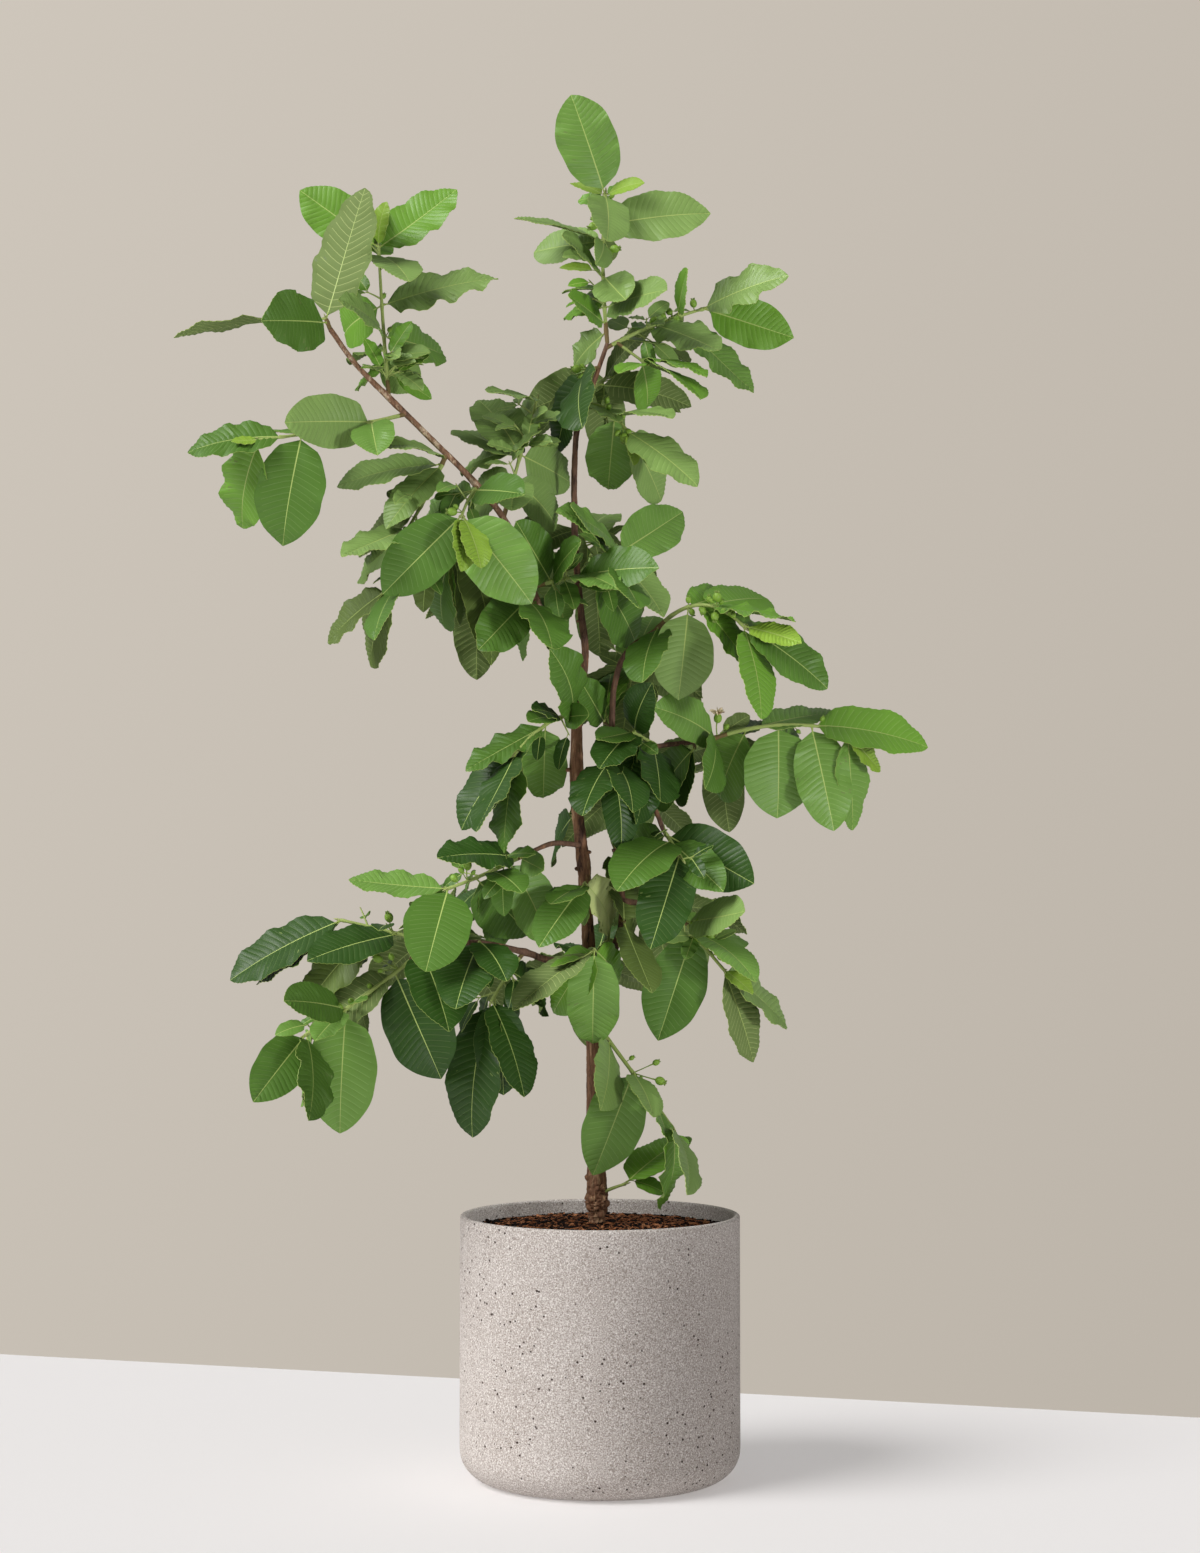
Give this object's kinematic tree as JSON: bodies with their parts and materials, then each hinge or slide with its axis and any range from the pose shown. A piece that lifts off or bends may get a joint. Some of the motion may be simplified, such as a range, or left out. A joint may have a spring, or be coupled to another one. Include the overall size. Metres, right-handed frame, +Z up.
{
  "type": "potted guava tree",
  "caption": "Young guava tree with a slim trunk, open boughs and drooping oval leaves, in a round concrete-like pot.",
  "frame": {"origin": "centre of the pot's flat underside", "axes": "+Z up; +X to the right and +Y away, seen from the side that the crown is opened towards"},
  "size_m": [0.809, 0.4135, 1.4863],
  "materials": {
    "bark": "matt young bark, flaking a little low on the trunk",
    "leaves": "leathery leaves with a satin upper side and a pale matt underside",
    "fibre_concrete": "fine matt speckled surface with small open pits",
    "potting_mix": "loose dark coir chips and fibres"
  },
  "bodies": {
    "root": {"pot": "fibre_concrete", "potting_mix": "potting_mix", "trunk": "bark", "leader": "bark", "left_bough": "bark", "right_stem": "bark", "lower_left_bough": "bark", "middle_left_bough": "bark", "right_bough": "bark", "lower_right_bough": "bark", "low_right_bough": "bark", "leaves_top": "leaves", "leaves_upper_right": "leaves", "leaves_upper_left": "leaves", "leaves_shoulder_right": "leaves", "leaves_middle_right": "leaves", "leaves_middle": "leaves", "leaves_fork": "leaves", "leaves_left_tip": "leaves", "leaves_left_spire": "leaves", "leaves_left_low": "leaves", "leaves_left_front": "leaves", "leaves_left_side": "leaves", "leaves_left_under": "leaves", "leaves_inner_left": "leaves", "leaves_right_tip": "leaves", "leaves_stem_right": "leaves", "leaves_stem_front": "leaves", "leaves_centre": "leaves", "leaves_centre_right": "leaves", "leaves_far_right": "leaves", "leaves_right_fan": "leaves", "leaves_right_low": "leaves", "leaves_centre_low": "leaves", "leaves_stem_low": "leaves", "leaves_trunk_middle": "leaves", "leaves_front": "leaves", "leaves_trunk_left": "leaves", "leaves_middle_left": "leaves", "leaves_trunk_sprig": "leaves", "leaves_low_left_tip": "leaves", "leaves_low_left_upper": "leaves", "leaves_low_left_inner": "leaves", "leaves_low_left_hang": "leaves", "leaves_low_right": "leaves", "leaves_base_sprout": "leaves", "leaves_rear_top": "leaves", "leaves_rear_upper_left": "leaves", "leaves_rear_upper_right": "leaves", "leaves_rear_middle_right": "leaves", "leaves_rear_right": "leaves", "leaves_rear_centre": "leaves", "leaves_rear_low_right": "leaves", "leaves_rear_low_left": "leaves", "leaves_rear_low": "leaves"}
  },
  "joints": []
}
